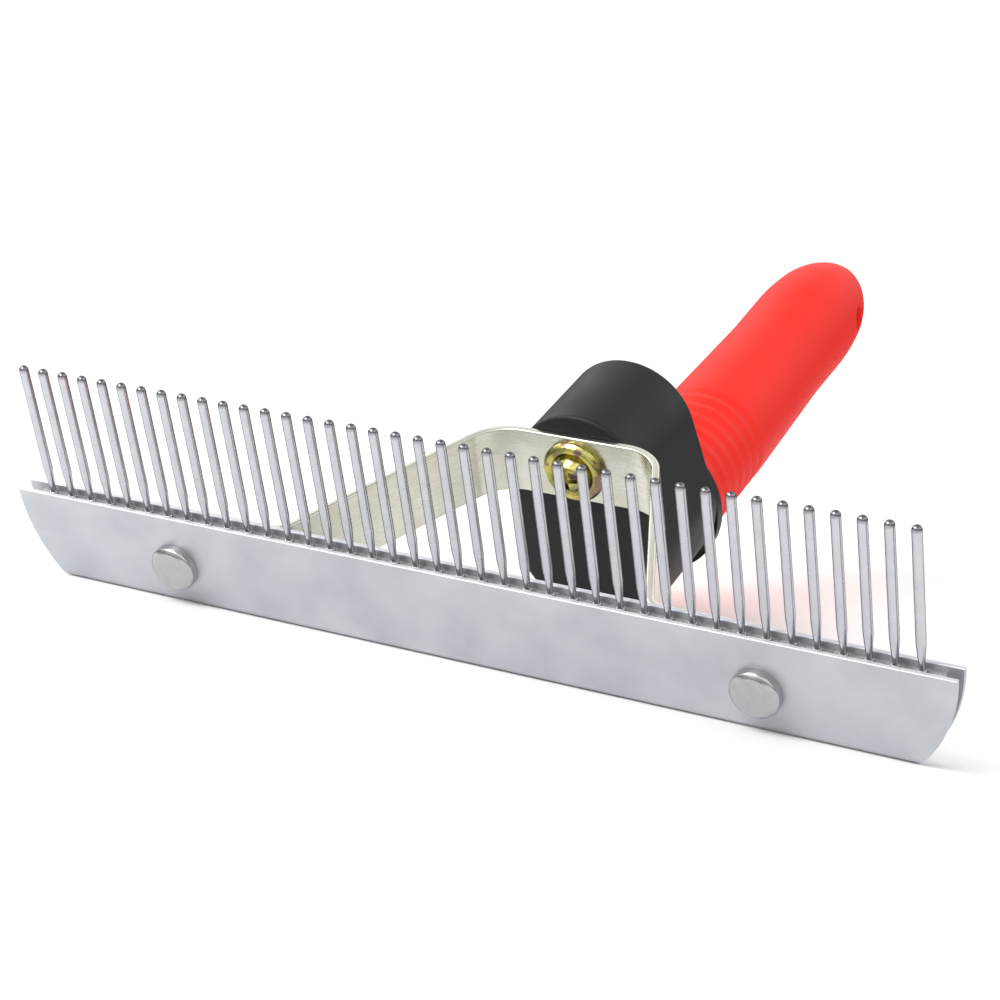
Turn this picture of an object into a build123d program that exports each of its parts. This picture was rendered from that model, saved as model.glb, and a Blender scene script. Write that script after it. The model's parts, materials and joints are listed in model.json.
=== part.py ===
"""Dematting comb: a row of free-turning steel pins in a folded channel, on a bent strip bracket
screwed to a two-shot handle. Millimetres.

The comb is laid out in tool axes: X along the head, Y back along the handle, Z along the pins.
Y = 0 is the row of pins and Z = 0 the top edge of the channel. Every piece is then turned and
lifted together into its resting stance, +Z up, on the channel's fold and the collar's underside.
"""

from build123d import *
import os
from math import asin, atan2, cos, degrees, hypot, radians, sin, sqrt

# ---------------------------------------------------------------- driving dimensions
# pins
PIN_COUNT = 40
PIN_PITCH = 5.0
PIN_REACH = 30.0            # from the channel's top edge to the tip
PIN_RADIUS = 1.0
PIN_NECK_RADIUS = 0.62      # waist just above the bead, with a cone up to the full shank
PIN_NECK_TOP = 0.5
PIN_CONE_TOP = 5.0
PIN_BEAD_RADIUS = 0.95      # the bead that rides on the carrier
PIN_BEAD_HEIGHT = 0.9
PIN_JOURNAL_RADIUS = 0.75
PIN_HEAD_RADIUS = 1.25
PIN_HEAD_HEIGHT = 1.0
PIN_RUN = 0.05              # radial and end clearance of a pin in its hole

# channel, carrier and core bar
HEAD_LENGTH = 210.0
CHANNEL_DEPTH = 5.0
CHANNEL_HEIGHT = 21.0
SHEET = 1.0
FOLD_RADIUS = 1.6
END_ARC_RADIUS = 32.0
CARRIER_DROP = 1.6
CARRIER_HEIGHT = 3.0
END_INSET = 3.0             # carrier and core bar stop short of the channel's ends
CORE_GAP = 0.35             # between the pins' heads and the core bar
CORE_FLOOR = 1.6            # from the fold's outside to the core bar

# rivets
RIVET_SPACING = 132.0
RIVET_DROP = 11.5
RIVET_RADIUS = 2.5
RIVET_FIT = 0.05
RIVET_HEAD_RADIUS = 5.2
RIVET_HEAD_HEIGHT = 2.6
RIVET_HEAD_BEVEL = 1.1
RIVET_TAIL_RADIUS = 4.0
RIVET_TAIL_HEIGHT = 1.6

# bracket
STRIP_THICKNESS = 1.7
STRIP_HEIGHT = 15.4
STRIP_DROP = 1.0
BRACKET_REACH = 53.2        # pins' row to the front of the strip's middle
BRACKET_TOP_WIDTH = 37.4    # between the sharp corners at the collar
BRACKET_FOOT_WIDTH = 82.6   # between the sharp corners at the channel
BRACKET_SPAN = 152.0        # over the ends of the tabs
TOP_BEND_RADIUS = 9.0
FOOT_BEND_RADIUS = 5.0
TAB_CORNER = 2.5

# handle
UPPER_LOBE_RADIUS = 15.2    # the collar's outline is two round lobes and their tangents
UPPER_LOBE_DROP = 12.0
LOWER_LOBE_RADIUS = 18.8
LOWER_LOBE_DROP = 30.2
COLLAR_LENGTH = 26.2
COLLAR_CHAMFER = 0.8
COLLAR_REAR_FILLET = 1.2
SEAT_RADIUS = 18.5          # round seat behind the collar that covers the grip's end
SEAT_DROP = 33.3
SEAT_LENGTH = 3.0
SEAT_FILLET = 0.6
GRIP_DROP = 37.8
GRIP_RADIUS = 13.8
GRIP_WAIST_RADIUS = 12.9
GRIP_WAIST_FROM_END = 43.0
GRIP_SWELL_RADIUS = 12.9
GRIP_SWELL_FROM_END = 23.0
GRIP_DOME_RADIUS = 9.0      # partway round the domed end
GRIP_DOME_FROM_END = 7.5
GRIP_LENGTH = 116.0
STEM_RADIUS = 8.5
STEM_TIP_FILLET = 4.0
STEM_SHORT_OF_HOLE = 8.0
GROOVE_COUNT = 8
GROOVE_PITCH = 4.0
GROOVE_RADIUS = 1.0
GROOVE_RISE = 0.4           # a groove's centre stands this far outside the grip's surface
HANG_HOLE_RADIUS = 2.5
HANG_HOLE_FROM_END = 18.0
HANG_HOLE_LENGTH = 22.0
HANG_SPOT_RADIUS = 4.2

# handle screw, cup washer and insert
SCREW_RADIUS = 2.5
SCREW_FIT = 0.05
SCREW_LENGTH = 15.0
SCREW_DOME_RADIUS = 4.2
SCREW_DOME_HEIGHT = 3.4
SLOT_LENGTH = 5.0
SLOT_WIDTH = 1.0
SLOT_DEPTH = 1.5
WASHER_RADIUS = 7.1
WASHER_RIM = 0.8
WASHER_CREST = 2.1
WASHER_SEAT = 1.3
INSERT_RADIUS = 4.0
INSERT_LENGTH = 13.0

# ---------------------------------------------------------------- sizes that follow
half_head = HEAD_LENGTH / 2
inner_gap = CHANNEL_DEPTH - 2 * SHEET
channel_back = CHANNEL_DEPTH / 2
carrier_floor = CARRIER_DROP + CARRIER_HEIGHT
core_top = carrier_floor + PIN_RUN + PIN_HEAD_HEIGHT + CORE_GAP
core_bottom = CHANNEL_HEIGHT - CORE_FLOOR
strip_middle = STRIP_DROP + STRIP_HEIGHT / 2
collar_front = BRACKET_REACH + STRIP_THICKNESS
collar_back = collar_front + COLLAR_LENGTH
collar_bottom = LOWER_LOBE_DROP + LOWER_LOBE_RADIUS
grip_start = collar_back + SEAT_LENGTH
grip_end = grip_start + GRIP_LENGTH
hang_hole = grip_end - HANG_HOLE_FROM_END
stem_end = hang_hole - HANG_HOLE_RADIUS - STEM_SHORT_OF_HOLE
pin_places = [(index - (PIN_COUNT - 1) / 2) * PIN_PITCH for index in range(PIN_COUNT)]
rivet_places = [-RIVET_SPACING / 2, RIVET_SPACING / 2]


def half_length_at(drop):
    """Half the head's length at a depth below the channel's top edge, along its curved ends."""
    return half_head - END_ARC_RADIUS + sqrt(END_ARC_RADIUS**2 - drop**2)


def dome_radius(radius, height):
    """Radius of the ball that a cap of this foot radius and height is cut from."""
    return (radius**2 + height**2) / (2 * height)


def rest_tilt():
    """Angle that brings the fold and the collar's front lower edge onto one level surface."""
    fold_y, fold_z = FOLD_RADIUS - channel_back, FOLD_RADIUS - CHANNEL_HEIGHT
    across = collar_front + COLLAR_CHAMFER - fold_y
    down = fold_z + collar_bottom
    return atan2(down, across) - asin(FOLD_RADIUS / hypot(across, down))


pieces = {}
screw_axis = Axis((0, 0, -strip_middle), (0, 1, 0))
screw_profile = Plane(origin=(0, 0, -strip_middle), x_dir=(0, 1, 0), z_dir=(1, 0, 0))
grip_axis = Axis((0, 0, -GRIP_DROP), (0, 1, 0))
grip_profile = Plane(origin=(0, 0, -GRIP_DROP), x_dir=(0, 1, 0), z_dir=(1, 0, 0))

# ---------------------------------------------------------------- channel
# One sheet folded into a narrow U, open at the top, its ends cut to a curve.
with BuildPart() as head_channel:
    with BuildSketch(Plane.YZ.offset(-half_head)):
        with Locations((0, -CHANNEL_HEIGHT / 2)):
            Rectangle(CHANNEL_DEPTH, CHANNEL_HEIGHT)
    extrude(amount=HEAD_LENGTH)
    fold = head_channel.edges().filter_by(Axis.X).group_by(Axis.Z)[0]
    fillet(fold, FOLD_RADIUS)
    with BuildSketch(Plane.YZ.offset(-half_head)):
        with BuildLine():
            inner_bottom = SHEET - CHANNEL_HEIGHT
            FilletPolyline(
                (-inner_gap / 2, 1),
                (-inner_gap / 2, inner_bottom),
                (inner_gap / 2, inner_bottom),
                (inner_gap / 2, 1),
                radius=FOLD_RADIUS - SHEET,
            )
            Line((inner_gap / 2, 1), (-inner_gap / 2, 1))
        make_face()
    extrude(amount=HEAD_LENGTH, mode=Mode.SUBTRACT)
    with BuildSketch(Plane.XZ.offset(-CHANNEL_DEPTH)):
        with BuildLine():
            foot = half_length_at(CHANNEL_HEIGHT)
            waist = half_length_at(CHANNEL_HEIGHT / 2)
            Line((-half_head, 0), (half_head, 0))
            ThreePointArc((half_head, 0), (waist, -CHANNEL_HEIGHT / 2), (foot, -CHANNEL_HEIGHT))
            Line((foot, -CHANNEL_HEIGHT), (-foot, -CHANNEL_HEIGHT))
            ThreePointArc((-foot, -CHANNEL_HEIGHT), (-waist, -CHANNEL_HEIGHT / 2), (-half_head, 0))
        make_face()
    extrude(amount=2 * CHANNEL_DEPTH, mode=Mode.INTERSECT)
    with BuildSketch(Plane.XZ.offset(-CHANNEL_DEPTH)):
        with Locations(*[(x, -RIVET_DROP) for x in rivet_places]):
            Circle(RIVET_RADIUS + RIVET_FIT)
    extrude(amount=2 * CHANNEL_DEPTH, mode=Mode.SUBTRACT)
pieces["head_channel"] = head_channel

# ---------------------------------------------------------------- pin carrier
# Drilled strip held between the walls, one hole for each pin.
with BuildPart() as pin_carrier:
    carrier_half = half_length_at(carrier_floor) - END_INSET
    with BuildSketch(Plane.XY.offset(-carrier_floor)):
        Rectangle(2 * carrier_half, inner_gap)
    extrude(amount=CARRIER_HEIGHT)
    with BuildSketch(Plane.XY.offset(-carrier_floor)):
        with Locations(*[(x, 0) for x in pin_places]):
            Circle(PIN_JOURNAL_RADIUS + PIN_RUN)
    extrude(amount=CARRIER_HEIGHT, mode=Mode.SUBTRACT)
pieces["pin_carrier"] = pin_carrier

# ---------------------------------------------------------------- core bar
# Solid bar under the pins' heads, which the rivets clamp the walls onto.
with BuildPart() as core_bar:
    core_half = half_length_at(core_bottom) - END_INSET
    with BuildSketch(Plane.XZ.offset(-inner_gap / 2)):
        with Locations((0, -(core_top + core_bottom) / 2)):
            Rectangle(2 * core_half, core_bottom - core_top)
        with Locations(*[(x, -RIVET_DROP) for x in rivet_places]):
            Circle(RIVET_RADIUS + RIVET_FIT, mode=Mode.SUBTRACT)
    extrude(amount=inner_gap)
pieces["core_bar"] = core_bar

# ---------------------------------------------------------------- pins
# Turned steel pin: round tip, shank, waist, bead on the carrier, journal through it, upset head.
with BuildPart() as pin:
    with BuildSketch(Plane.XZ):
        with BuildLine():
            bead_floor = PIN_RUN - CARRIER_DROP
            head_roof = -carrier_floor - PIN_RUN
            Polyline(
                (0, head_roof - PIN_HEAD_HEIGHT),
                (PIN_HEAD_RADIUS, head_roof - PIN_HEAD_HEIGHT),
                (PIN_HEAD_RADIUS, head_roof),
                (PIN_JOURNAL_RADIUS, head_roof),
                (PIN_JOURNAL_RADIUS, bead_floor),
                (PIN_BEAD_RADIUS, bead_floor),
                (PIN_BEAD_RADIUS, bead_floor + PIN_BEAD_HEIGHT),
                (PIN_NECK_RADIUS, bead_floor + PIN_BEAD_HEIGHT),
                (PIN_NECK_RADIUS, PIN_NECK_TOP),
                (PIN_RADIUS, PIN_CONE_TOP),
                (PIN_RADIUS, PIN_REACH - PIN_RADIUS),
            )
            RadiusArc((PIN_RADIUS, PIN_REACH - PIN_RADIUS), (0, PIN_REACH), -PIN_RADIUS)
            Line((0, PIN_REACH), (0, head_roof - PIN_HEAD_HEIGHT))
        make_face()
    revolve(axis=Axis.Z)

# ---------------------------------------------------------------- bracket
# One steel strip bent to a flat-topped arch on edge, its tabs lying along the channel's back wall.
with BuildPart() as bracket:
    with BuildSketch(Plane.XY.offset(-STRIP_DROP - STRIP_HEIGHT)):
        with BuildLine():
            FilletPolyline(
                (-BRACKET_SPAN / 2, channel_back),
                (-BRACKET_FOOT_WIDTH / 2, channel_back),
                (-BRACKET_TOP_WIDTH / 2, BRACKET_REACH),
                (BRACKET_TOP_WIDTH / 2, BRACKET_REACH),
                (BRACKET_FOOT_WIDTH / 2, channel_back),
                (BRACKET_SPAN / 2, channel_back),
                radius=[FOOT_BEND_RADIUS, TOP_BEND_RADIUS, TOP_BEND_RADIUS, FOOT_BEND_RADIUS],
            )
            offset(amount=STRIP_THICKNESS, side=Side.LEFT)
        make_face()
    extrude(amount=STRIP_HEIGHT)
    ends = bracket.edges().filter_by(Axis.Y)
    fillet(ends.group_by(Axis.X)[0] + ends.group_by(Axis.X)[-1], TAB_CORNER)
    with BuildSketch(Plane.XZ.offset(-BRACKET_REACH - 2 * STRIP_THICKNESS)):
        with Locations(*[(x, -RIVET_DROP) for x in rivet_places]):
            Circle(RIVET_RADIUS + RIVET_FIT)
        with Locations((0, -strip_middle)):
            Circle(SCREW_RADIUS + SCREW_FIT)
    extrude(amount=BRACKET_REACH + 2 * STRIP_THICKNESS, mode=Mode.SUBTRACT)
pieces["bracket"] = bracket

# ---------------------------------------------------------------- rivets
# Solid rivet: bevelled head in front, plain shank, tail upset behind the bracket's tab.
with BuildPart() as rivet:
    tail_start = channel_back + STRIP_THICKNESS
    with BuildSketch(Plane.YZ):
        with BuildLine():
            Polyline(
                (-channel_back - RIVET_HEAD_HEIGHT, 0),
                (-channel_back - RIVET_HEAD_HEIGHT, RIVET_HEAD_RADIUS - RIVET_HEAD_BEVEL),
                (-channel_back - RIVET_HEAD_HEIGHT + RIVET_HEAD_BEVEL, RIVET_HEAD_RADIUS),
                (-channel_back, RIVET_HEAD_RADIUS),
                (-channel_back, RIVET_RADIUS),
                (tail_start, RIVET_RADIUS),
                (tail_start, RIVET_TAIL_RADIUS),
            )
            tail_dome = dome_radius(RIVET_TAIL_RADIUS, RIVET_TAIL_HEIGHT)
            RadiusArc((tail_start, RIVET_TAIL_RADIUS), (tail_start + RIVET_TAIL_HEIGHT, 0), tail_dome)
            Line((tail_start + RIVET_TAIL_HEIGHT, 0), (-channel_back - RIVET_HEAD_HEIGHT, 0))
        make_face()
    revolve(axis=Axis.Y)

# ---------------------------------------------------------------- cup washer
# Dished washer with a raised crest round the screw's head.
with BuildPart() as cup_washer:
    with BuildSketch(screw_profile):
        with BuildLine():
            bore = SCREW_RADIUS + SCREW_FIT
            seat_edge = SCREW_DOME_RADIUS + SCREW_FIT
            crest = (WASHER_RADIUS + seat_edge) / 2
            Polyline(
                (BRACKET_REACH, bore),
                (BRACKET_REACH, WASHER_RADIUS),
                (BRACKET_REACH - WASHER_RIM, WASHER_RADIUS),
            )
            ThreePointArc(
                (BRACKET_REACH - WASHER_RIM, WASHER_RADIUS),
                (BRACKET_REACH - WASHER_CREST, crest),
                (BRACKET_REACH - WASHER_SEAT, seat_edge),
            )
            Polyline(
                (BRACKET_REACH - WASHER_SEAT, seat_edge),
                (BRACKET_REACH - WASHER_SEAT, bore),
                (BRACKET_REACH, bore),
            )
        make_face()
    revolve(axis=screw_axis)
pieces["cup_washer"] = cup_washer

# ---------------------------------------------------------------- handle screw
# Dome-headed machine screw with a cross recess, seated in the cup washer.
with BuildPart() as handle_screw:
    seat = BRACKET_REACH - WASHER_SEAT
    with BuildSketch(screw_profile):
        with BuildLine():
            Polyline(
                (seat + SCREW_LENGTH, 0),
                (seat + SCREW_LENGTH, SCREW_RADIUS),
                (seat, SCREW_RADIUS),
                (seat, SCREW_DOME_RADIUS),
            )
            dome = dome_radius(SCREW_DOME_RADIUS, SCREW_DOME_HEIGHT)
            RadiusArc((seat, SCREW_DOME_RADIUS), (seat - SCREW_DOME_HEIGHT, 0), -dome)
            Line((seat - SCREW_DOME_HEIGHT, 0), (seat + SCREW_LENGTH, 0))
        make_face()
    revolve(axis=screw_axis)
    with BuildSketch(Plane.XZ.offset(SCREW_DOME_HEIGHT - seat)):
        with Locations((0, -strip_middle)):
            Rectangle(SLOT_LENGTH, SLOT_WIDTH)
            Rectangle(SLOT_WIDTH, SLOT_LENGTH)
    extrude(amount=-SLOT_DEPTH, mode=Mode.SUBTRACT)
pieces["handle_screw"] = handle_screw

# ---------------------------------------------------------------- threaded insert
# Brass sleeve moulded into the collar, which the screw threads into.
with BuildPart() as threaded_insert:
    with BuildSketch(Plane.XZ.offset(-collar_front)):
        with Locations((0, -strip_middle)):
            Circle(INSERT_RADIUS)
            Circle(SCREW_RADIUS + SCREW_FIT, mode=Mode.SUBTRACT)
    extrude(amount=-INSERT_LENGTH)
pieces["threaded_insert"] = threaded_insert

# ---------------------------------------------------------------- handle core
# One hard moulding: the tall oval collar that the bracket bears on, the seat, and the stem.
with BuildPart() as handle_core:
    with BuildSketch(Plane.XZ.offset(-collar_front)):
        with Locations((0, -UPPER_LOBE_DROP)):
            Circle(UPPER_LOBE_RADIUS)
        with Locations((0, -LOWER_LOBE_DROP)):
            Circle(LOWER_LOBE_RADIUS)
        make_hull()
    extrude(amount=-COLLAR_LENGTH)
    chamfer(handle_core.edges().group_by(Axis.Y)[0], COLLAR_CHAMFER)
    fillet(handle_core.edges().group_by(Axis.Y)[-1], COLLAR_REAR_FILLET)
    with BuildSketch(Plane.XZ.offset(-collar_back)):
        with Locations((0, -SEAT_DROP)):
            Circle(SEAT_RADIUS)
    extrude(amount=-SEAT_LENGTH)
    fillet(handle_core.edges().group_by(Axis.Y)[-1], SEAT_FILLET)
    with BuildSketch(Plane.XZ.offset(-grip_start)):
        with Locations((0, -GRIP_DROP)):
            Circle(STEM_RADIUS)
    extrude(amount=-(stem_end - grip_start))
    fillet(handle_core.edges().group_by(Axis.Y)[-1], STEM_TIP_FILLET)
    with BuildSketch(Plane.XZ.offset(-collar_front)):
        with Locations((0, -strip_middle)):
            Circle(INSERT_RADIUS)
    extrude(amount=-max(INSERT_LENGTH, SCREW_LENGTH), mode=Mode.SUBTRACT)
pieces["handle_core"] = handle_core

# ---------------------------------------------------------------- grip sleeve
# Soft overmoulded sleeve: grooved beside the collar, a slight waist, a swell and a domed end.
with BuildPart() as grip_sleeve:
    with BuildSketch(grip_profile):
        with BuildLine():
            straight_end = grip_start + (GROOVE_COUNT + 0.5) * GROOVE_PITCH
            Line((grip_start, 0), (grip_start, GRIP_RADIUS))
            Line((grip_start, GRIP_RADIUS), (straight_end, GRIP_RADIUS))
            Spline(
                (straight_end, GRIP_RADIUS),
                (grip_end - GRIP_WAIST_FROM_END, GRIP_WAIST_RADIUS),
                (grip_end - GRIP_SWELL_FROM_END, GRIP_SWELL_RADIUS),
                (grip_end - GRIP_DOME_FROM_END, GRIP_DOME_RADIUS),
                (grip_end, 0),
                tangents=[(1, 0), (0, -1)],
            )
            Line((grip_end, 0), (grip_start, 0))
        make_face()
        for groove in range(GROOVE_COUNT):
            groove_place = grip_start + (groove + 0.75) * GROOVE_PITCH
            with Locations((groove_place, GRIP_RADIUS + GROOVE_RISE)):
                Circle(GROOVE_RADIUS, mode=Mode.SUBTRACT)
    revolve(axis=grip_axis)
    with BuildSketch(Plane.YZ.offset(-GRIP_RADIUS)):
        with Locations((hang_hole, -GRIP_DROP)):
            Circle(HANG_HOLE_RADIUS)
    extrude(amount=2 * GRIP_RADIUS, mode=Mode.SUBTRACT)
    for side in (1, -1):
        with BuildSketch(Plane.YZ.offset(side * HANG_HOLE_LENGTH / 2)):
            with Locations((hang_hole, -GRIP_DROP)):
                Circle(HANG_SPOT_RADIUS)
        extrude(amount=side * GRIP_RADIUS, mode=Mode.SUBTRACT)
    add(handle_core.part, mode=Mode.SUBTRACT)
pieces["grip_sleeve"] = grip_sleeve

# ---------------------------------------------------------------- stance and files
solids = {name: builder.part for name, builder in pieces.items()}
for side, x in zip(("left", "right"), rivet_places):
    solids[f"rivet_{side}"] = rivet.part.moved(Location((x, 0, -RIVET_DROP)))
for index, x in enumerate(pin_places):
    solids[f"pin_{index + 1:02d}"] = pin.part.moved(Location((x, 0, 0)))

tilt = rest_tilt()
turn = Location((0, 0, 0), (degrees(tilt), 0, 0))
fold_level = (FOLD_RADIUS - channel_back) * sin(tilt) + (FOLD_RADIUS - CHANNEL_HEIGHT) * cos(tilt)
ground = fold_level - FOLD_RADIUS
boxes = [solid.moved(turn).bounding_box() for solid in solids.values()]
front, back = min(box.min.Y for box in boxes), max(box.max.Y for box in boxes)
stance = Location((0, -(front + back) / 2, -ground)) * turn

os.makedirs("parts", exist_ok=True)
for name, solid in solids.items():
    placed = solid.moved(stance)
    placed.label = name
    export_step(placed, f"parts/{name}.step")
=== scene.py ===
from math import asin, cos, pi, radians, sin, sqrt, tan
import bmesh
import bpy
import json
from mathutils import Matrix, Vector


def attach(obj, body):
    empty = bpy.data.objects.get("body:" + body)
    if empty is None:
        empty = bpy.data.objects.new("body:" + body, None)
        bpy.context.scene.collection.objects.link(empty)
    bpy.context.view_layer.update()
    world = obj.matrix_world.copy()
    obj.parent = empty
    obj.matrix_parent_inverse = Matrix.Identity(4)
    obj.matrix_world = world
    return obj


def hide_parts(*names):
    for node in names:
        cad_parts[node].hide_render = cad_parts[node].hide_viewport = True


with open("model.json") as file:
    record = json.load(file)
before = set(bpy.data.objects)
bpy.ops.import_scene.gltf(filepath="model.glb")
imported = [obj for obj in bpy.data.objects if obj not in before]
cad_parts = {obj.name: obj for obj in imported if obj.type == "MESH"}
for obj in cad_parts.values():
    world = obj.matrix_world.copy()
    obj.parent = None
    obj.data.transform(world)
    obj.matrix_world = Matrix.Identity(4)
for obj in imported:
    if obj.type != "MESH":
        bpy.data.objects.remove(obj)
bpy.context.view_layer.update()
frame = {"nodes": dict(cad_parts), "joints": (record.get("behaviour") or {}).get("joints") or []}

# The comb lies tilted on the floor. Its own axes are x along the head, y back along the handle
# and z along the pins, in millimetres from the middle of the channel's open top.
MM = 0.001
bearing_drop = 3.1  # how far the joints' points lie below the channel's open top
weld_gap = 0.002
pins_way = Vector(frame["joints"][0]["axis"])
bearings = [Vector(joint["pos_m"]) for joint in frame["joints"]]
channel_top = (bearings[0] + bearings[-1]) / 2 + bearing_drop * MM * pins_way
lean = Vector((0, 0, 1)).rotation_difference(pins_way).to_matrix().to_4x4()
lie = Matrix.Translation(channel_top) @ lean @ Matrix.Scale(MM, 4)
own_axes = {
    "Location": lie.inverted().to_translation(),
    "Rotation": lie.inverted().to_euler(),
    "Scale": (1 / MM,) * 3,
}


def linear(code):
    """An sRGB hex colour as the linear colour that a shader socket takes."""
    shares = [int(code[at:at + 2], 16) / 255 for at in (1, 3, 5)]
    return [s / 12.92 if s <= 0.04045 else ((s + 0.055) / 1.055) ** 2.4 for s in shares] + [1]


def add(finish, kind, sockets, **settings):
    """Adds one shader node to a finish: its own settings, then each socket's value or link."""
    node = finish.node_tree.nodes.new("ShaderNode" + kind)
    for name, value in settings.items():
        setattr(node, name, value)
    for socket, value in sockets.items():
        if isinstance(value, bpy.types.NodeSocket):
            finish.node_tree.links.new(value, node.inputs[socket])
        else:
            node.inputs[socket].default_value = value
    return node


def new_finish(name):
    """An empty material, with the surface output that its shader goes to."""
    finish = bpy.data.materials.new(name)
    finish.use_nodes = True
    finish.node_tree.nodes.clear()
    return finish, add(finish, "OutputMaterial", {})


def draw(bm, corners, closed=False, steps=5):
    """Joins corners by straight runs, and rounds each one to the radius given with it."""
    points = [Vector(point) for point, radius in corners]
    verts = [bm.verts.new(point) for point in points]
    for pair in zip(verts, verts[1:] + verts[:1] if closed else verts[1:]):
        bm.edges.new(pair)
    for at, (point, radius) in enumerate(corners):
        if radius:
            before = points[at] - points[at - 1]
            after = points[(at + 1) % len(points)] - points[at]
            reach = radius * tan(before.angle(after) / 2)
            bmesh.ops.bevel(bm, geom=[verts[at]], offset=reach, affect="VERTICES", segments=steps,
                            profile=0.5, material=-1)


def barrel(bm, width, steps=2, sharper=60):
    """Rounds every edge that turns by more than an angle, as tumbling or a mould's radius does."""
    edges = [e for e in bm.edges if e.calc_face_angle(0) > radians(sharper)]
    bmesh.ops.bevel(bm, geom=edges, offset=width, affect="EDGES", segments=steps, profile=0.5,
                    material=-1)


def make_piece(bm, name, finish):
    """Closes a shape, lays it where the comb lies, and gives it its finish."""
    bmesh.ops.remove_doubles(bm, verts=bm.verts, dist=weld_gap)
    bmesh.ops.recalc_face_normals(bm, faces=bm.faces)
    bmesh.ops.transform(bm, matrix=lie, verts=bm.verts)
    mesh = bpy.data.meshes.new(name)
    bm.to_mesh(mesh)
    bm.free()
    mesh.materials.append(finish)
    mesh.polygons.foreach_set("use_smooth", [True] * len(mesh.polygons))
    mesh.set_sharp_from_angle(angle=radians(50))
    piece = bpy.data.objects.new(name, mesh)
    bpy.context.scene.collection.objects.link(piece)
    weighted = piece.modifiers.new("even_shading", "WEIGHTED_NORMAL")
    weighted.keep_sharp = True
    return piece


def combine(bm, tool, operation):
    """Takes a tool's shape away from a shape, as a drill or punch does, or moulds the two as one."""
    shapes = []
    for name, shape in (("work", bm), ("tool", tool)):
        bmesh.ops.remove_doubles(shape, verts=shape.verts, dist=weld_gap)
        bmesh.ops.recalc_face_normals(shape, faces=shape.faces)
        mesh = bpy.data.meshes.new(name)
        shape.to_mesh(mesh)
        shapes.append(bpy.data.objects.new(name, mesh))
        bpy.context.scene.collection.objects.link(shapes[-1])
    work, blade = shapes
    taking = work.modifiers.new("combine", "BOOLEAN")
    taking.operation = operation
    taking.object = blade
    taking.solver = "EXACT"
    result = work.evaluated_get(bpy.context.evaluated_depsgraph_get()).to_mesh()
    bm.clear()
    bm.from_mesh(result)
    tool.free()
    for shape in shapes:
        bpy.data.meshes.remove(shape.data)


def bore(bm, radius, places):
    """Drills holes along y at a list of x and z."""
    for x, z in places:
        drill = bmesh.new()
        way = Matrix.Translation((x, 30, z)) @ Matrix.Rotation(pi / 2, 4, "X")
        bmesh.ops.create_cone(drill, cap_ends=True, segments=48, radius1=radius, radius2=radius,
                              depth=100, matrix=way)
        combine(bm, drill, "DIFFERENCE")


head_half = 105.0
channel_half_depth, channel_height = 2.5, 21.0
sheet, fold_radius = 1.0, 1.6
end_arc = 32.0
bore_radius = 2.55
rivet_places = [(-66.0, -11.5), (66.0, -11.5)]

zinc, surface = new_finish("zinc_plated_steel_sheet")
# Bright zinc plate on rolled sheet: a cool blue-grey satin, clouded by the plating bath, with a
# faint grain along the rolling direction and a passivation film that scatters some light. The
# walls' top edges carry a painted highlight: a brighter grey where light catches the cut edge.
where = add(zinc, "TexCoord", {})
own = add(zinc, "Mapping", {"Vector": where.outputs["Object"], **own_axes})
drawn_out = add(zinc, "Mapping", {"Vector": own.outputs[0], "Scale": (0.02, 2.2, 2.2)})
clouds = add(zinc, "TexNoise", {"Vector": own.outputs[0], "Scale": 0.07, "Detail": 4.0})
grain = add(zinc, "TexNoise", {"Vector": drawn_out.outputs[0], "Scale": 1.0, "Detail": 3.0})
spangle = add(zinc, "TexNoise", {"Vector": own.outputs[0], "Scale": 1.6, "Detail": 2.0})
cloud_share = add(zinc, "MapRange", {"Value": clouds.outputs[0], 1: 0.35, 2: 0.65})
plate = add(zinc, "Mix", {0: cloud_share.outputs[0], 6: linear("#B4B7BC"), 7: linear("#C2C4C8")},
            data_type="RGBA")
split = add(zinc, "SeparateXYZ", {"Vector": own.outputs[0]})
# Painted highlight: the top 0.25 mm of the walls, their cut edges, is painted a brighter grey.
edge_highlight_share = add(zinc, "MapRange", {"Value": split.outputs[2], 1: -0.25, 2: -0.05})
painted_edge_highlight = add(zinc, "Mix", {0: edge_highlight_share.outputs[0], 6: plate.outputs[2], 7: linear("#DCDEE4")},
            data_type="RGBA")
satin = add(zinc, "MapRange", {"Value": grain.outputs[0], 1: 0.3, 2: 0.7, 3: 0.36, 4: 0.46})
relief = add(zinc, "Math", {0: grain.outputs[0], 1: spangle.outputs[0]}, operation="ADD")
bumps = add(zinc, "Bump", {"Height": relief.outputs[0], "Strength": 0.12, "Distance": 0.00003})
steel = add(zinc, "BsdfPrincipled", {"Base Color": painted_edge_highlight.outputs[2], "Metallic": 0.7,
                                     "Roughness": satin.outputs[0], "Normal": bumps.outputs[0]})
zinc.node_tree.links.new(steel.outputs[0], surface.inputs[0])

# The section is drawn from x = -1 to 1, and then each height is stretched to the length that the
# curve of the ends leaves it.
trough = bmesh.new()
draw(trough, [((-1, -channel_half_depth, 0), 0),
              ((-1, -channel_half_depth, -channel_height), fold_radius),
              ((-1, channel_half_depth, -channel_height), fold_radius),
              ((-1, channel_half_depth, 0), 0)])
walls = [e for e in trough.edges if e.calc_length() > 10]
bmesh.ops.subdivide_edges(trough, edges=walls, cuts=9)
run = bmesh.ops.extrude_edge_only(trough, edges=trough.edges[:])
far_end = [v for v in run["geom"] if isinstance(v, bmesh.types.BMVert)]
bmesh.ops.translate(trough, verts=far_end, vec=(2, 0, 0))
for vert in trough.verts:
    vert.co.x *= head_half - end_arc + sqrt(end_arc**2 - vert.co.z**2)
bmesh.ops.recalc_face_normals(trough, faces=trough.faces)
bmesh.ops.solidify(trough, geom=trough.faces[:], thickness=sheet)
barrel(trough, 0.2)
bore(trough, bore_radius, rivet_places)
channel = make_piece(trough, "folded_channel", zinc)
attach(channel, "root")
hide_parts("head_channel")

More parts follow.
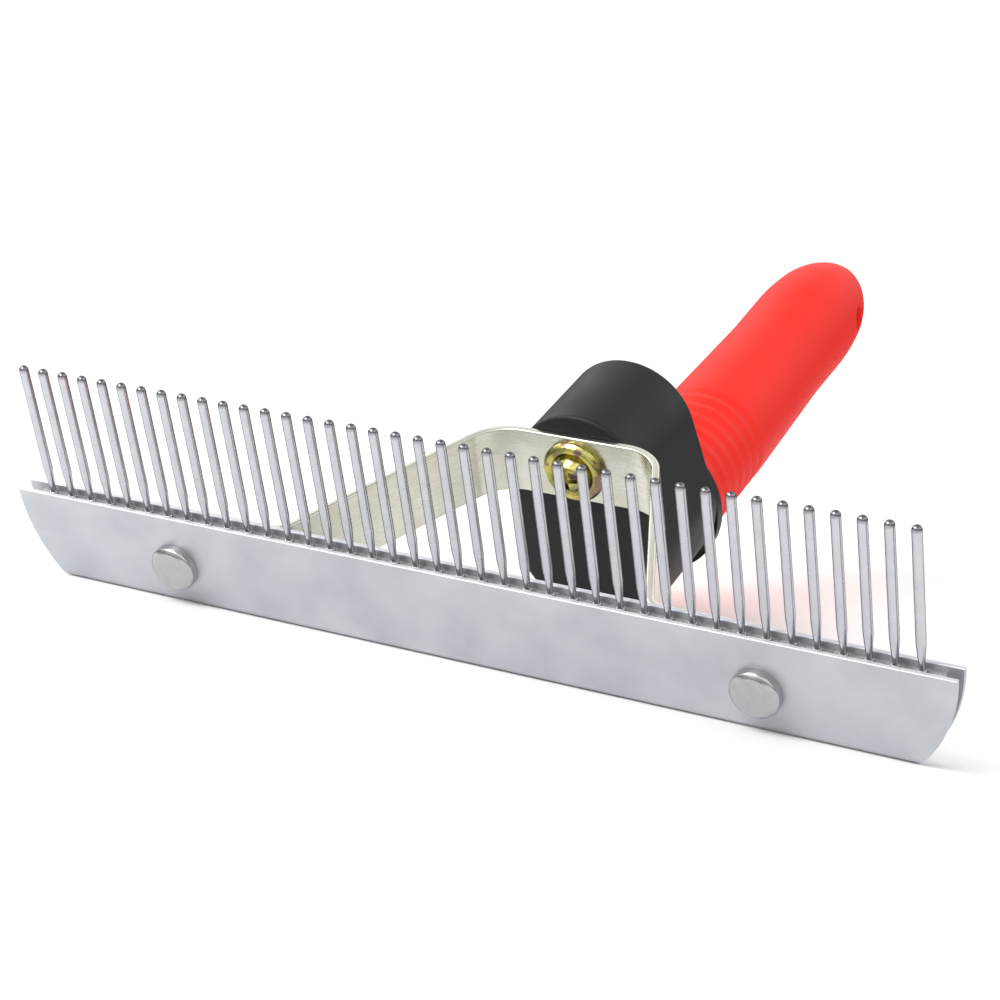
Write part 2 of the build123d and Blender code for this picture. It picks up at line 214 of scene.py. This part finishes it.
# ---------------------------------------------------------------- Pin carrier
# A plain drawn steel bar pressed between the channel's walls and drilled through for each pin.
# It shows only as the dull floor between the walls, under the pins' beads.
drawn_steel, surface = new_finish("plain_drawn_steel")
# Unplated steel from the drawing die: mid grey, streaked along the bar, with oily dark specks.
where = add(drawn_steel, "TexCoord", {})
own = add(drawn_steel, "Mapping", {"Vector": where.outputs["Object"], **own_axes})
streaks = add(drawn_steel, "Mapping", {"Vector": own.outputs[0], "Scale": (0.05, 3.0, 3.0)})
streak = add(drawn_steel, "TexNoise", {"Vector": streaks.outputs[0], "Scale": 1.0, "Detail": 3.0})
specks = add(drawn_steel, "TexNoise", {"Vector": own.outputs[0], "Scale": 1.1, "Detail": 4.0})
speck_share = add(drawn_steel, "MapRange", {"Value": specks.outputs[0], 1: 0.45, 2: 0.7})
greys = add(drawn_steel, "Mix", {0: speck_share.outputs[0], 6: linear("#CBCBC9"),
                                 7: linear("#9C9C9B")}, data_type="RGBA")
dull = add(drawn_steel, "MapRange", {"Value": streak.outputs[0], 1: 0.3, 2: 0.7, 3: 0.34, 4: 0.5})
bumps = add(drawn_steel, "Bump", {"Height": streak.outputs[0], "Strength": 0.2,
                                  "Distance": 0.00003})
steel = add(drawn_steel, "BsdfPrincipled", {"Base Color": greys.outputs[2], "Metallic": 0.5,
                                            "Roughness": dull.outputs[0],
                                            "Normal": bumps.outputs[0]})
drawn_steel.node_tree.links.new(steel.outputs[0], surface.inputs[0])
frame["nodes"]["pin_carrier"].data.materials[0] = drawn_steel

# ---------------------------------------------------------------- Core bar
# A solid plastic bar under the pins' heads that the rivets clamp the walls onto, sawn to length
# from extruded stock. Only its ends can be seen, from the channel's two ends.
sawn_plastic, surface = new_finish("extruded_nylon_bar")
# Dark grey extruded nylon: dull, with fine lengthwise die lines and a slightly mottled colour.
where = add(sawn_plastic, "TexCoord", {})
own = add(sawn_plastic, "Mapping", {"Vector": where.outputs["Object"], **own_axes})
die_lines = add(sawn_plastic, "Mapping", {"Vector": own.outputs[0], "Scale": (0.04, 2.5, 2.5)})
lines = add(sawn_plastic, "TexNoise", {"Vector": die_lines.outputs[0], "Scale": 1.0})
mottle = add(sawn_plastic, "TexNoise", {"Vector": own.outputs[0], "Scale": 0.5, "Detail": 3.0})
greys = add(sawn_plastic, "Mix", {0: mottle.outputs[0], 6: linear("#3A3B3E"),
                                  7: linear("#54565A")}, data_type="RGBA")
bumps = add(sawn_plastic, "Bump", {"Height": lines.outputs[0], "Strength": 0.3,
                                   "Distance": 0.00004})
nylon = add(sawn_plastic, "BsdfPrincipled", {"Base Color": greys.outputs[2], "Roughness": 0.55,
                                             "IOR": 1.53, "Normal": bumps.outputs[0]})
sawn_plastic.node_tree.links.new(nylon.outputs[0], surface.inputs[0])
frame["nodes"]["core_bar"].data.materials[0] = sawn_plastic

# ---------------------------------------------------------------- Pins
# Forty turned stainless pins, each free to roll in the carrier: a round tip, a straight shank,
# a waist, a bead that rides on the carrier, and a head upset under it so the pin can't come out.
pin_count, pin_pitch = 40, 5.0

polished, surface = new_finish("polished_stainless_steel")
# Bright turned stainless: almost mirror-like, with lathe rings round the shank, finer than can
# be seen and so drawn 0.4 mm apart, and darker at a grazing angle. The round tip is painted
# darker, a painted dark reflection of the dim surroundings.
where = add(polished, "TexCoord", {})
own = add(polished, "Mapping", {"Vector": where.outputs["Object"], **own_axes})
rings = add(polished, "Mapping", {"Vector": own.outputs[0], "Scale": (0.2, 0.2, 2.5)})
lathe = add(polished, "TexNoise", {"Vector": rings.outputs[0], "Scale": 1.0, "Detail": 2.0})
smears = add(polished, "TexNoise", {"Vector": own.outputs[0], "Scale": 0.35, "Detail": 3.0})
greys = add(polished, "Mix", {0: smears.outputs[0], 6: linear("#BABABF"), 7: linear("#CBCBCF")},
            data_type="RGBA")
split = add(polished, "SeparateXYZ", {"Vector": own.outputs[0]})
# Painted dark reflection: the last 1.4 mm of each pin, its round tip, is painted a darker grey.
tip_reflection_share = add(polished, "MapRange", {"Value": split.outputs[2], 1: 28.6, 2: 29.4})
painted_dark_tip = add(polished, "Mix", {0: tip_reflection_share.outputs[0], 6: greys.outputs[2],
                               7: linear("#828286")}, data_type="RGBA")
worn = add(polished, "MapRange", {"Value": lathe.outputs[0], 1: 0.3, 2: 0.7, 3: 0.22, 4: 0.28})
bumps = add(polished, "Bump", {"Height": lathe.outputs[0], "Strength": 0.07,
                               "Distance": 0.00002})
steel = add(polished, "BsdfPrincipled", {"Base Color": painted_dark_tip.outputs[2], "Metallic": 1.0,
                                         "Specular Tint": linear("#8C8C92"),
                                         "Roughness": worn.outputs[0],
                                         "Normal": bumps.outputs[0]})
polished.node_tree.links.new(steel.outputs[0], surface.inputs[0])


def turned(profile, steps, closed=False, rounding=4):
    """A lathe-turned shape about the y axis, from (y, radius, corner radius) along its profile."""
    bm = bmesh.new()
    draw(bm, [((0, y, radius), corner) for y, radius, corner in profile], closed, rounding)
    bmesh.ops.spin(bm, geom=bm.verts[:] + bm.edges[:], cent=(0, 0, 0), axis=(0, 1, 0),
                   angle=2 * pi, steps=steps, use_merge=True)
    return bm


head_foot, head_top, bead_foot, bead_top, pin_tip = -5.65, -4.65, -1.55, -0.65, 29.97
head_radius, journal_radius, bead_radius, neck_radius, shank_radius = 1.25, 0.75, 0.95, 0.62, 1.0
pin_profile = [
    (head_foot, 0, 0), (head_foot, head_radius, 0.25), (head_top, head_radius, 0.2),
    (head_top, journal_radius, 0), (bead_foot, journal_radius, 0), (bead_foot, bead_radius, 0.3),
    (bead_top, bead_radius, 0.3), (bead_top, neck_radius, 0), (0.5, neck_radius, 4),
    (5, shank_radius, 8), (pin_tip, shank_radius, 0.97), (pin_tip, 0, 0),
]
for number in range(pin_count):
    pin = turned(pin_profile, 24)
    stand = Matrix.Translation(((number - (pin_count - 1) / 2) * pin_pitch, 0, 0))
    bmesh.ops.transform(pin, matrix=stand @ Matrix.Rotation(pi / 2, 4, "X"), verts=pin.verts)
    pin = make_piece(pin, f"steel_pin_{number + 1:02d}", polished)
    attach(pin, f"body_pin_{number + 1:02d}")
    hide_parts(f"pin_{number + 1:02d}")

# ---------------------------------------------------------------- Bracket
# A strip of rolled steel with rounded edges, bent on edge to a flat-topped arch, nickel plated.
# Its two tabs lie along the channel's back wall under the rivets.
nickel, surface = new_finish("nickel_plated_strip")
# Bright nickel over rolled strip: a warm, faintly yellow-green grey, smoother than the zinc,
# with soft stains and long rolling lines.
where = add(nickel, "TexCoord", {})
own = add(nickel, "Mapping", {"Vector": where.outputs["Object"], **own_axes})
rolled = add(nickel, "Mapping", {"Vector": own.outputs[0], "Scale": (0.05, 0.05, 2.5)})
lines = add(nickel, "TexNoise", {"Vector": rolled.outputs[0], "Scale": 1.0, "Detail": 3.0})
stains = add(nickel, "TexNoise", {"Vector": own.outputs[0], "Scale": 0.12, "Detail": 4.0})
stain_share = add(nickel, "MapRange", {"Value": stains.outputs[0], 1: 0.35, 2: 0.65})
warm = add(nickel, "Mix", {0: stain_share.outputs[0], 6: linear("#D3D2C3"),
                           7: linear("#DFDED3")}, data_type="RGBA")
gloss = add(nickel, "MapRange", {"Value": lines.outputs[0], 1: 0.3, 2: 0.7, 3: 0.22, 4: 0.32})
bumps = add(nickel, "Bump", {"Height": lines.outputs[0], "Strength": 0.06,
                             "Distance": 0.00003})
plated = add(nickel, "BsdfPrincipled", {"Base Color": warm.outputs[2], "Metallic": 1.0,
                                        "Roughness": gloss.outputs[0],
                                        "Normal": bumps.outputs[0]})
nickel.node_tree.links.new(plated.outputs[0], surface.inputs[0])

strip_top, strip_height, strip_thickness = -1.0, 15.4, 1.7
arch_front = 53.2
tab_end, foot_bend, arch_bend = 76.0, 41.3, 18.7
foot_bend_radius, arch_bend_radius = 5, 9
screw_place = (0.0, strip_top - strip_height / 2)
strip = bmesh.new()
draw(strip, [((-tab_end, channel_half_depth, strip_top), 0),
             ((-foot_bend, channel_half_depth, strip_top), foot_bend_radius),
             ((-arch_bend, arch_front, strip_top), arch_bend_radius),
             ((arch_bend, arch_front, strip_top), arch_bend_radius),
             ((foot_bend, channel_half_depth, strip_top), foot_bend_radius),
             ((tab_end, channel_half_depth, strip_top), 0)],
     steps=12)
run = bmesh.ops.extrude_edge_only(strip, edges=strip.edges[:])
lower_edge = [v for v in run["geom"] if isinstance(v, bmesh.types.BMVert)]
bmesh.ops.translate(strip, verts=lower_edge, vec=(0, 0, -strip_height))
tab_corners = [v for v in strip.verts if abs(v.co.x) > tab_end - 0.1]
bmesh.ops.bevel(strip, geom=tab_corners, offset=2.5, affect="VERTICES", segments=6, profile=0.5,
                material=-1)
bmesh.ops.recalc_face_normals(strip, faces=strip.faces)
outward = max(strip.faces, key=lambda face: face.calc_center_median().y).normal.y
bmesh.ops.solidify(strip, geom=strip.faces[:], thickness=-strip_thickness * outward)
barrel(strip, 0.45, steps=3)
bore(strip, bore_radius, rivet_places + [screw_place])
bracket = make_piece(strip, "bent_strip_bracket", nickel)
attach(bracket, "root")
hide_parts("bracket")

# ---------------------------------------------------------------- Rivets
# Two solid steel rivets clamp channel, core bar and bracket together. The bevelled factory head
# is at the front, and the tail is upset to a low dome behind the bracket's tab.
rivet_metal, surface = new_finish("tumbled_rivet_steel")
# Tumbled steel: a neutral bright grey with shallow dents, about 1.5 mm wide, and a soft sheen.
where = add(rivet_metal, "TexCoord", {})
own = add(rivet_metal, "Mapping", {"Vector": where.outputs["Object"], **own_axes})
dents = add(rivet_metal, "TexNoise", {"Vector": own.outputs[0], "Scale": 0.7, "Detail": 2.0})
scuffs = add(rivet_metal, "TexNoise", {"Vector": own.outputs[0], "Scale": 4.0, "Detail": 3.0})
greys = add(rivet_metal, "Mix", {0: dents.outputs[0], 6: linear("#ABADAD"),
                                 7: linear("#BFC0BF")}, data_type="RGBA")
sheen = add(rivet_metal, "MapRange", {"Value": scuffs.outputs[0], 1: 0.3, 2: 0.7, 3: 0.2,
                                      4: 0.28})
bumps = add(rivet_metal, "Bump", {"Height": dents.outputs[0], "Strength": 0.15,
                                  "Distance": 0.0001})
steel = add(rivet_metal, "BsdfPrincipled", {"Base Color": greys.outputs[2], "Metallic": 1.0,
                                            "Roughness": sheen.outputs[0],
                                            "Normal": bumps.outputs[0]})
rivet_metal.node_tree.links.new(steel.outputs[0], surface.inputs[0])

rivet_shank, rivet_head, tail_height = 2.5, 5.2, 1.6
wall_front, tab_back = -channel_half_depth, channel_half_depth + strip_thickness
rivet_profile = [
    (wall_front - 2.6, 0, 0), (wall_front - 2.6, 4.2, 0.3), (wall_front - 1.8, rivet_head, 0.8),
    (wall_front, rivet_head, 0.15), (wall_front, rivet_shank, 0), (tab_back, rivet_shank, 0),
    (tab_back, 4.0, 0.1), (tab_back + 0.6, 3.9, 0.5), (tab_back + tail_height, 1.8, 2.2),
    (tab_back + tail_height, 0, 0),
]
for side, (x, z) in zip(("left", "right"), rivet_places):
    rivet = turned(rivet_profile, 64)
    bmesh.ops.translate(rivet, verts=rivet.verts, vec=(x, 0, z))
    rivet = make_piece(rivet, f"solid_rivet_{side}", rivet_metal)
    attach(rivet, "root")
    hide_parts(f"rivet_{side}")

# ---------------------------------------------------------------- Cup washer
# A pressed cup washer with a raised round crest, which spreads the screw's pull over the strip.
chromate, surface = new_finish("yellow_chromate_plate")
# Yellow chromate over zinc: brassy yellow that drifts to olive, green and violet-brown in soft
# patches a few millimetres wide, with a bright, slightly uneven gloss.
where = add(chromate, "TexCoord", {})
own = add(chromate, "Mapping", {"Vector": where.outputs["Object"], **own_axes})
drift = add(chromate, "TexNoise", {"Vector": own.outputs[0], "Scale": 0.22, "Detail": 1.5})
film = add(chromate, "TexNoise", {"Vector": own.outputs[0], "Scale": 0.4, "Detail": 2.0})
fine = add(chromate, "TexNoise", {"Vector": own.outputs[0], "Scale": 3.0, "Detail": 2.0})
olive_share = add(chromate, "MapRange", {"Value": drift.outputs[0], 1: 0.42, 2: 0.6})
violet_share = add(chromate, "MapRange", {"Value": film.outputs[0], 1: 0.5, 2: 0.62})
yellow = add(chromate, "Mix", {0: olive_share.outputs[0], 6: linear("#D6CB74"),
                               7: linear("#9A9A5C")}, data_type="RGBA")
tints = add(chromate, "Mix", {0: violet_share.outputs[0], 6: yellow.outputs[2],
                              7: linear("#8C7468")}, data_type="RGBA")
gloss = add(chromate, "MapRange", {"Value": fine.outputs[0], 1: 0.3, 2: 0.7, 3: 0.14, 4: 0.26})
bumps = add(chromate, "Bump", {"Height": fine.outputs[0], "Strength": 0.1,
                               "Distance": 0.00003})
gold = add(chromate, "BsdfPrincipled", {"Base Color": tints.outputs[2], "Metallic": 1.0,
                                        "Roughness": gloss.outputs[0],
                                        "Normal": bumps.outputs[0]})
chromate.node_tree.links.new(gold.outputs[0], surface.inputs[0])

washer_radius, crest = 7.1, arch_front - 2.1
screw_seat = arch_front - 1.3
washer = turned([(arch_front, bore_radius, 0), (arch_front, washer_radius, 0.1),
                 (arch_front - 1.1, washer_radius, 0.5), (crest, 6.3, 0.7), (crest, 5.1, 0.5),
                 (screw_seat, 4.3, 0.1), (screw_seat, bore_radius, 0)], 96, closed=True)
bmesh.ops.translate(washer, verts=washer.verts, vec=(0, 0, screw_place[1]))
washer = make_piece(washer, "pressed_cup_washer", chromate)
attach(washer, "root")
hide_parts("cup_washer")

# ---------------------------------------------------------------- Handle screw
# A dome-headed machine screw with a cross recess, plated like its washer. It holds the bracket
# to the handle, threaded into the brass insert.
crown, screw_tip, thread_radius = screw_seat - 3.4, screw_seat + 15, 2.5
recess_reach, recess_width = 5.0, 1.0
screw = turned([(crown, 0, 0), (crown, 1.2, 0.6), (screw_seat - 2.9, 2.6, 2.0),
                (screw_seat - 1.3, 4.0, 1.6), (screw_seat, 4.2, 0.1),
                (screw_seat, thread_radius, 0), (screw_tip, thread_radius, 0.6),
                (screw_tip, 0, 0)], 64)
for wide, tall in ((recess_reach, recess_width), (recess_width, recess_reach)):
    punch = bmesh.new()
    bmesh.ops.create_cube(punch, size=1)
    bmesh.ops.scale(punch, verts=punch.verts, vec=(wide, 3.0, tall))
    bmesh.ops.translate(punch, verts=punch.verts, vec=(0, crown, 0))
    combine(screw, punch, "DIFFERENCE")
bmesh.ops.translate(screw, verts=screw.verts, vec=(0, 0, screw_place[1]))
screw = make_piece(screw, "dome_head_screw", chromate)
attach(screw, "root")
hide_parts("handle_screw")

# ---------------------------------------------------------------- Threaded insert
# A turned brass sleeve moulded into the collar, which takes the screw's thread. It is hidden
# behind the bracket.
brass, surface = new_finish("turned_brass")
# Turned brass: warm yellow, ringed by the tool and slightly dull.
where = add(brass, "TexCoord", {})
own = add(brass, "Mapping", {"Vector": where.outputs["Object"], **own_axes})
rings = add(brass, "Mapping", {"Vector": own.outputs[0], "Scale": (0.3, 3.0, 0.3)})
lathe = add(brass, "TexNoise", {"Vector": rings.outputs[0], "Scale": 1.0, "Detail": 2.0})
tarnish = add(brass, "Mix", {0: lathe.outputs[0], 6: linear("#B08D45"), 7: linear("#D2B068")},
              data_type="RGBA")
bumps = add(brass, "Bump", {"Height": lathe.outputs[0], "Strength": 0.2, "Distance": 0.00003})
metal = add(brass, "BsdfPrincipled", {"Base Color": tarnish.outputs[2], "Metallic": 1.0,
                                      "Roughness": 0.3, "Normal": bumps.outputs[0]})
brass.node_tree.links.new(metal.outputs[0], surface.inputs[0])
frame["nodes"]["threaded_insert"].data.materials[0] = brass

# ---------------------------------------------------------------- Handle core
# One hard black moulding: a tall oval collar that the bracket bears on, a round seat behind it
# that covers the grip's end, and a stem inside the grip. The collar is two lobes and their tangents.
hard_black, surface = new_finish("moulded_black_abs")
# ABS from a spark-eroded mould: charcoal, satin, with a grain of 0.3 mm, drawn a little coarse
# to show, faint flow mottling, and patches that are slightly smoother.
where = add(hard_black, "TexCoord", {})
own = add(hard_black, "Mapping", {"Vector": where.outputs["Object"], **own_axes})
flow = add(hard_black, "TexNoise", {"Vector": own.outputs[0], "Scale": 0.08, "Detail": 3.0})
erosion = add(hard_black, "TexNoise", {"Vector": own.outputs[0], "Scale": 3.0, "Detail": 3.0})
charcoal = add(hard_black, "Mix", {0: flow.outputs[0], 6: linear("#17181A"),
                                   7: linear("#202123")}, data_type="RGBA")
rubbed = add(hard_black, "MapRange", {"Value": flow.outputs[0], 1: 0.35, 2: 0.65, 3: 0.42,
                                      4: 0.54})
bumps = add(hard_black, "Bump", {"Height": erosion.outputs[0], "Strength": 0.25,
                                 "Distance": 0.00004})
abs_resin = add(hard_black, "BsdfPrincipled", {"Base Color": charcoal.outputs[2],
                                               "Roughness": rubbed.outputs[0], "IOR": 1.53,
                                               "Specular IOR Level": 0.25,
                                               "Normal": bumps.outputs[0]})
hard_black.node_tree.links.new(abs_resin.outputs[0], surface.inputs[0])

collar_front = arch_front + strip_thickness
collar_length = 26.2
upper_drop, upper_lobe = 12.0, 15.2
lower_drop, lower_lobe = 30.2, 18.8
seat_drop, grip_drop = 33.3, 37.8
seat_radius, seat_length = 18.5, 3.0
well_radius, well_depth = 4, 15
grip_start = collar_front + collar_length + seat_length
stem_radius, stem_end = 8.5, 171.6

core = bmesh.new()
slope = (lower_lobe - upper_lobe) / (lower_drop - upper_drop)
flank = asin(slope)
for lobe, drop, start, turn in ((upper_lobe, upper_drop, flank, pi - 2 * flank),
                                (lower_lobe, lower_drop, pi - flank, pi + 2 * flank)):
    first = core.verts.new((lobe * cos(start), collar_front, lobe * sin(start) - drop))
    bmesh.ops.spin(core, geom=[first], cent=(0, collar_front, -drop), axis=(0, -1, 0), angle=turn,
                   steps=48)
ends = sorted((v for v in core.verts if len(v.link_edges) == 1), key=lambda v: v.co.x)
core.edges.new(ends[:2])
core.edges.new(ends[2:])
outline = bmesh.ops.contextual_create(core, geom=core.edges[:])["faces"]
body = bmesh.ops.extrude_face_region(core, geom=outline)["geom"]
bmesh.ops.translate(core, verts=[v for v in body if isinstance(v, bmesh.types.BMVert)],
                    vec=(0, collar_length, 0))
for at, radius in ((collar_front, 1.0), (collar_front + collar_length, 1.2)):
    rim = [e for e in core.edges if all(abs(v.co.y - at) < 0.01 for v in e.verts)]
    bmesh.ops.bevel(core, geom=rim, offset=radius, affect="EDGES", segments=4, profile=0.5,
                    material=-1)
well = turned([(collar_front - 1, 0, 0), (collar_front - 1, well_radius, 0),
               (collar_front + well_depth, well_radius, 0), (collar_front + well_depth, 0, 0)], 48)
bmesh.ops.translate(well, verts=well.verts, vec=(0, 0, screw_place[1]))
combine(core, well, "DIFFERENCE")
seat = turned([(collar_front + collar_length, 0, 0),
               (collar_front + collar_length, seat_radius, 0.2), (grip_start, seat_radius, 0.6),
               (grip_start, 0, 0)], 96)
bmesh.ops.translate(seat, verts=seat.verts, vec=(0, 0, -seat_drop))
combine(core, seat, "UNION")
stem = turned([(grip_start - 1, 0, 0), (grip_start - 1, stem_radius, 0),
               (stem_end, stem_radius, 4), (stem_end, 0, 0)], 96)
bmesh.ops.translate(stem, verts=stem.verts, vec=(0, 0, -grip_drop))
combine(core, stem, "UNION")
collar = make_piece(core, "collar_and_stem", hard_black)
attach(collar, "root")
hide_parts("handle_core")

# ---------------------------------------------------------------- Grip sleeve
# A soft red sleeve moulded over the stem: finger grooves beside the collar, a slight waist, a
# swell and a domed end with a hole through it to hang the comb up by.
soft_red, surface = new_finish("moulded_red_tpr")
# Thermoplastic rubber: saturated warm red, matt with a skin-like grain of 0.5 mm, and paler where
# light grazes it.
where = add(soft_red, "TexCoord", {})
own = add(soft_red, "Mapping", {"Vector": where.outputs["Object"], **own_axes})
batch = add(soft_red, "TexNoise", {"Vector": own.outputs[0], "Scale": 0.06, "Detail": 3.0})
skin = add(soft_red, "TexNoise", {"Vector": own.outputs[0], "Scale": 2.0, "Detail": 3.0})
red = add(soft_red, "Mix", {0: batch.outputs[0], 6: linear("#EA1E10"), 7: linear("#F32819")},
          data_type="RGBA")
matt = add(soft_red, "MapRange", {"Value": skin.outputs[0], 1: 0.3, 2: 0.7, 3: 0.5, 4: 0.62})
bumps = add(soft_red, "Bump", {"Height": skin.outputs[0], "Strength": 0.2,
                               "Distance": 0.00006})
rubber = add(soft_red, "BsdfPrincipled", {"Base Color": red.outputs[2], "IOR": 1.5,
                                          "Roughness": matt.outputs[0],
                                          "Specular IOR Level": 0.3,
                                          "Normal": bumps.outputs[0]})
soft_red.node_tree.links.new(rubber.outputs[0], surface.inputs[0])

grip_end = 199.95
hang_hole = 182.1
grip_radius, groove_radius = 13.8, 13.3
groove_count, groove_pitch, groove_half = 8, 4.0, 1.5
sleeve_profile = [(stem_end, 0, 0), (stem_end, stem_radius, 0), (grip_start, stem_radius, 0),
                  (grip_start, 13.6, 0.4)]
for groove in range(groove_count):
    middle = grip_start + groove_pitch * (groove + 0.75)
    sleeve_profile += [(middle - groove_half, grip_radius, 1.6), (middle, groove_radius, 1.6),
                       (middle + groove_half, grip_radius, 1.6)]
sleeve_profile += [(121, grip_radius, 120), (155, 12.85, 120), (175, 13.05, 60), (184, 12.0, 25),
                   (189, 10.5, 14), (193, 8.65, 10), (196, 6.7, 7), (198.2, 4.6, 4),
                   (199.4, 2.8, 2.5), (grip_end, 0.9, 0.8), (grip_end, 0, 0)]
sleeve = turned(sleeve_profile, 96, rounding=6)
# The hole is straight through the middle of the grip and flares to a mouth on each side.
hole = bmesh.new()
draw(hole, [((-16, 0, 0), 0), ((-16, 0, 6.0), 0), ((-12.9, 0, 3.9), 2), ((-10.6, 0, 2.5), 3),
            ((10.6, 0, 2.5), 3), ((12.9, 0, 3.9), 2), ((16, 0, 6.0), 0), ((16, 0, 0), 0)])
bmesh.ops.spin(hole, geom=hole.verts[:] + hole.edges[:], cent=(0, 0, 0), axis=(1, 0, 0),
               angle=2 * pi, steps=48, use_merge=True)
bmesh.ops.translate(hole, verts=hole.verts, vec=(0, hang_hole, 0))
combine(sleeve, hole, "DIFFERENCE")
bmesh.ops.translate(sleeve, verts=sleeve.verts, vec=(0, 0, -grip_drop))
grip = make_piece(sleeve, "soft_grip", soft_red)
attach(grip, "root")
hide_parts("grip_sleeve")

# ---------------------------------------------------------------- Studio
# A wide white table in a white tent that is dimmer near the floor and overhead, a large soft
# light high at the front left, a weaker one from the left, and the camera low in front of the
# head's right end.
paper, surface = new_finish("matt_white_paper")
where = add(paper, "TexCoord", {})
fibres = add(paper, "TexNoise", {"Vector": where.outputs["Object"], "Scale": 400.0})
tone = add(paper, "Mix", {0: fibres.outputs[0], 6: linear("#F2F2F2"), 7: linear("#F6F6F6")},
           data_type="RGBA")
sheet_of_paper = add(paper, "BsdfPrincipled", {"Base Color": tone.outputs[2], "Roughness": 0.9,
                                               "Specular IOR Level": 0.1})
paper.node_tree.links.new(sheet_of_paper.outputs[0], surface.inputs[0])
table_top = bmesh.new()
bmesh.ops.create_grid(table_top, x_segments=8, y_segments=8, size=0.5,
                      matrix=Matrix.Translation((0, -0.15, -0.0002)))
table_mesh = bpy.data.meshes.new("studio_table")
table_top.to_mesh(table_mesh)
table_top.free()
table_mesh.materials.append(paper)
studio_table = bpy.data.objects.new("studio_table", table_mesh)
bpy.context.scene.collection.objects.link(studio_table)

tent = bpy.data.worlds.new("white_tent")
tent.use_nodes = True
tent.node_tree.nodes.clear()
surface = add(tent, "OutputWorld", {})
where = add(tent, "TexCoord", {})
split = add(tent, "SeparateXYZ", {"Vector": where.outputs["Generated"]})
# The walls are dim up to a low height and bright above it, and the roof is dimmer again. The
# camera itself sees an even white in their place.
height = add(tent, "MapRange", {"Value": split.outputs[2], 1: 0.12, 2: 0.45, 3: 0.2, 4: 1.45})
roof = add(tent, "MapRange", {"Value": split.outputs[2], 1: 0.72, 2: 0.9, 3: 1.0, 4: 0.3})
glow = add(tent, "Math", {0: height.outputs[0], 1: roof.outputs[0]}, operation="MULTIPLY")
walls = add(tent, "Background", {"Color": linear("#FFFFFF"), "Strength": glow.outputs[0]})
behind = add(tent, "Background", {"Color": linear("#FFFFFF"), "Strength": 1.1})
ray = add(tent, "LightPath", {})
seen = add(tent, "MixShader", {0: ray.outputs["Is Camera Ray"], 1: walls.outputs[0],
                               2: behind.outputs[0]})
tent.node_tree.links.new(seen.outputs[0], surface.inputs[0])
bpy.context.scene.world = tent
bpy.context.scene.view_settings.view_transform = "Standard"

light_aim = Vector((0, 0, 0.02))
for name, place, size, watts in (("front_key", (-0.45, -0.8, 0.8), 0.7, 9.0),
                                  ("left_fill", (-1.1, 0.1, 0.6), 0.5, 2.5)):
    lamp = bpy.data.lights.new(name, "AREA")
    lamp.size = size
    lamp.energy = watts
    light = bpy.data.objects.new(name, lamp)
    light.location = place
    light.rotation_euler = (light_aim - Vector(place)).to_track_quat("-Z", "Y").to_euler()
    bpy.context.scene.collection.objects.link(light)

camera_place = (0.2343, -0.5210, 0.1110)
camera_turn, camera_dip, camera_roll = 27.611, 8.936, 6.019
lens = bpy.data.cameras.new("studio_camera")
lens.lens = 91.56
lens.sensor_width = 36.0
lens.clip_start = 0.01
camera = bpy.data.objects.new("studio_camera", lens)
camera.matrix_world = (Matrix.Translation(camera_place)
                       @ Matrix.Rotation(radians(camera_turn), 4, "Z")
                       @ Matrix.Rotation(radians(90 - camera_dip), 4, "X")
                       @ Matrix.Rotation(radians(camera_roll), 4, "Z"))
bpy.context.scene.collection.objects.link(camera)
bpy.context.scene.camera = camera
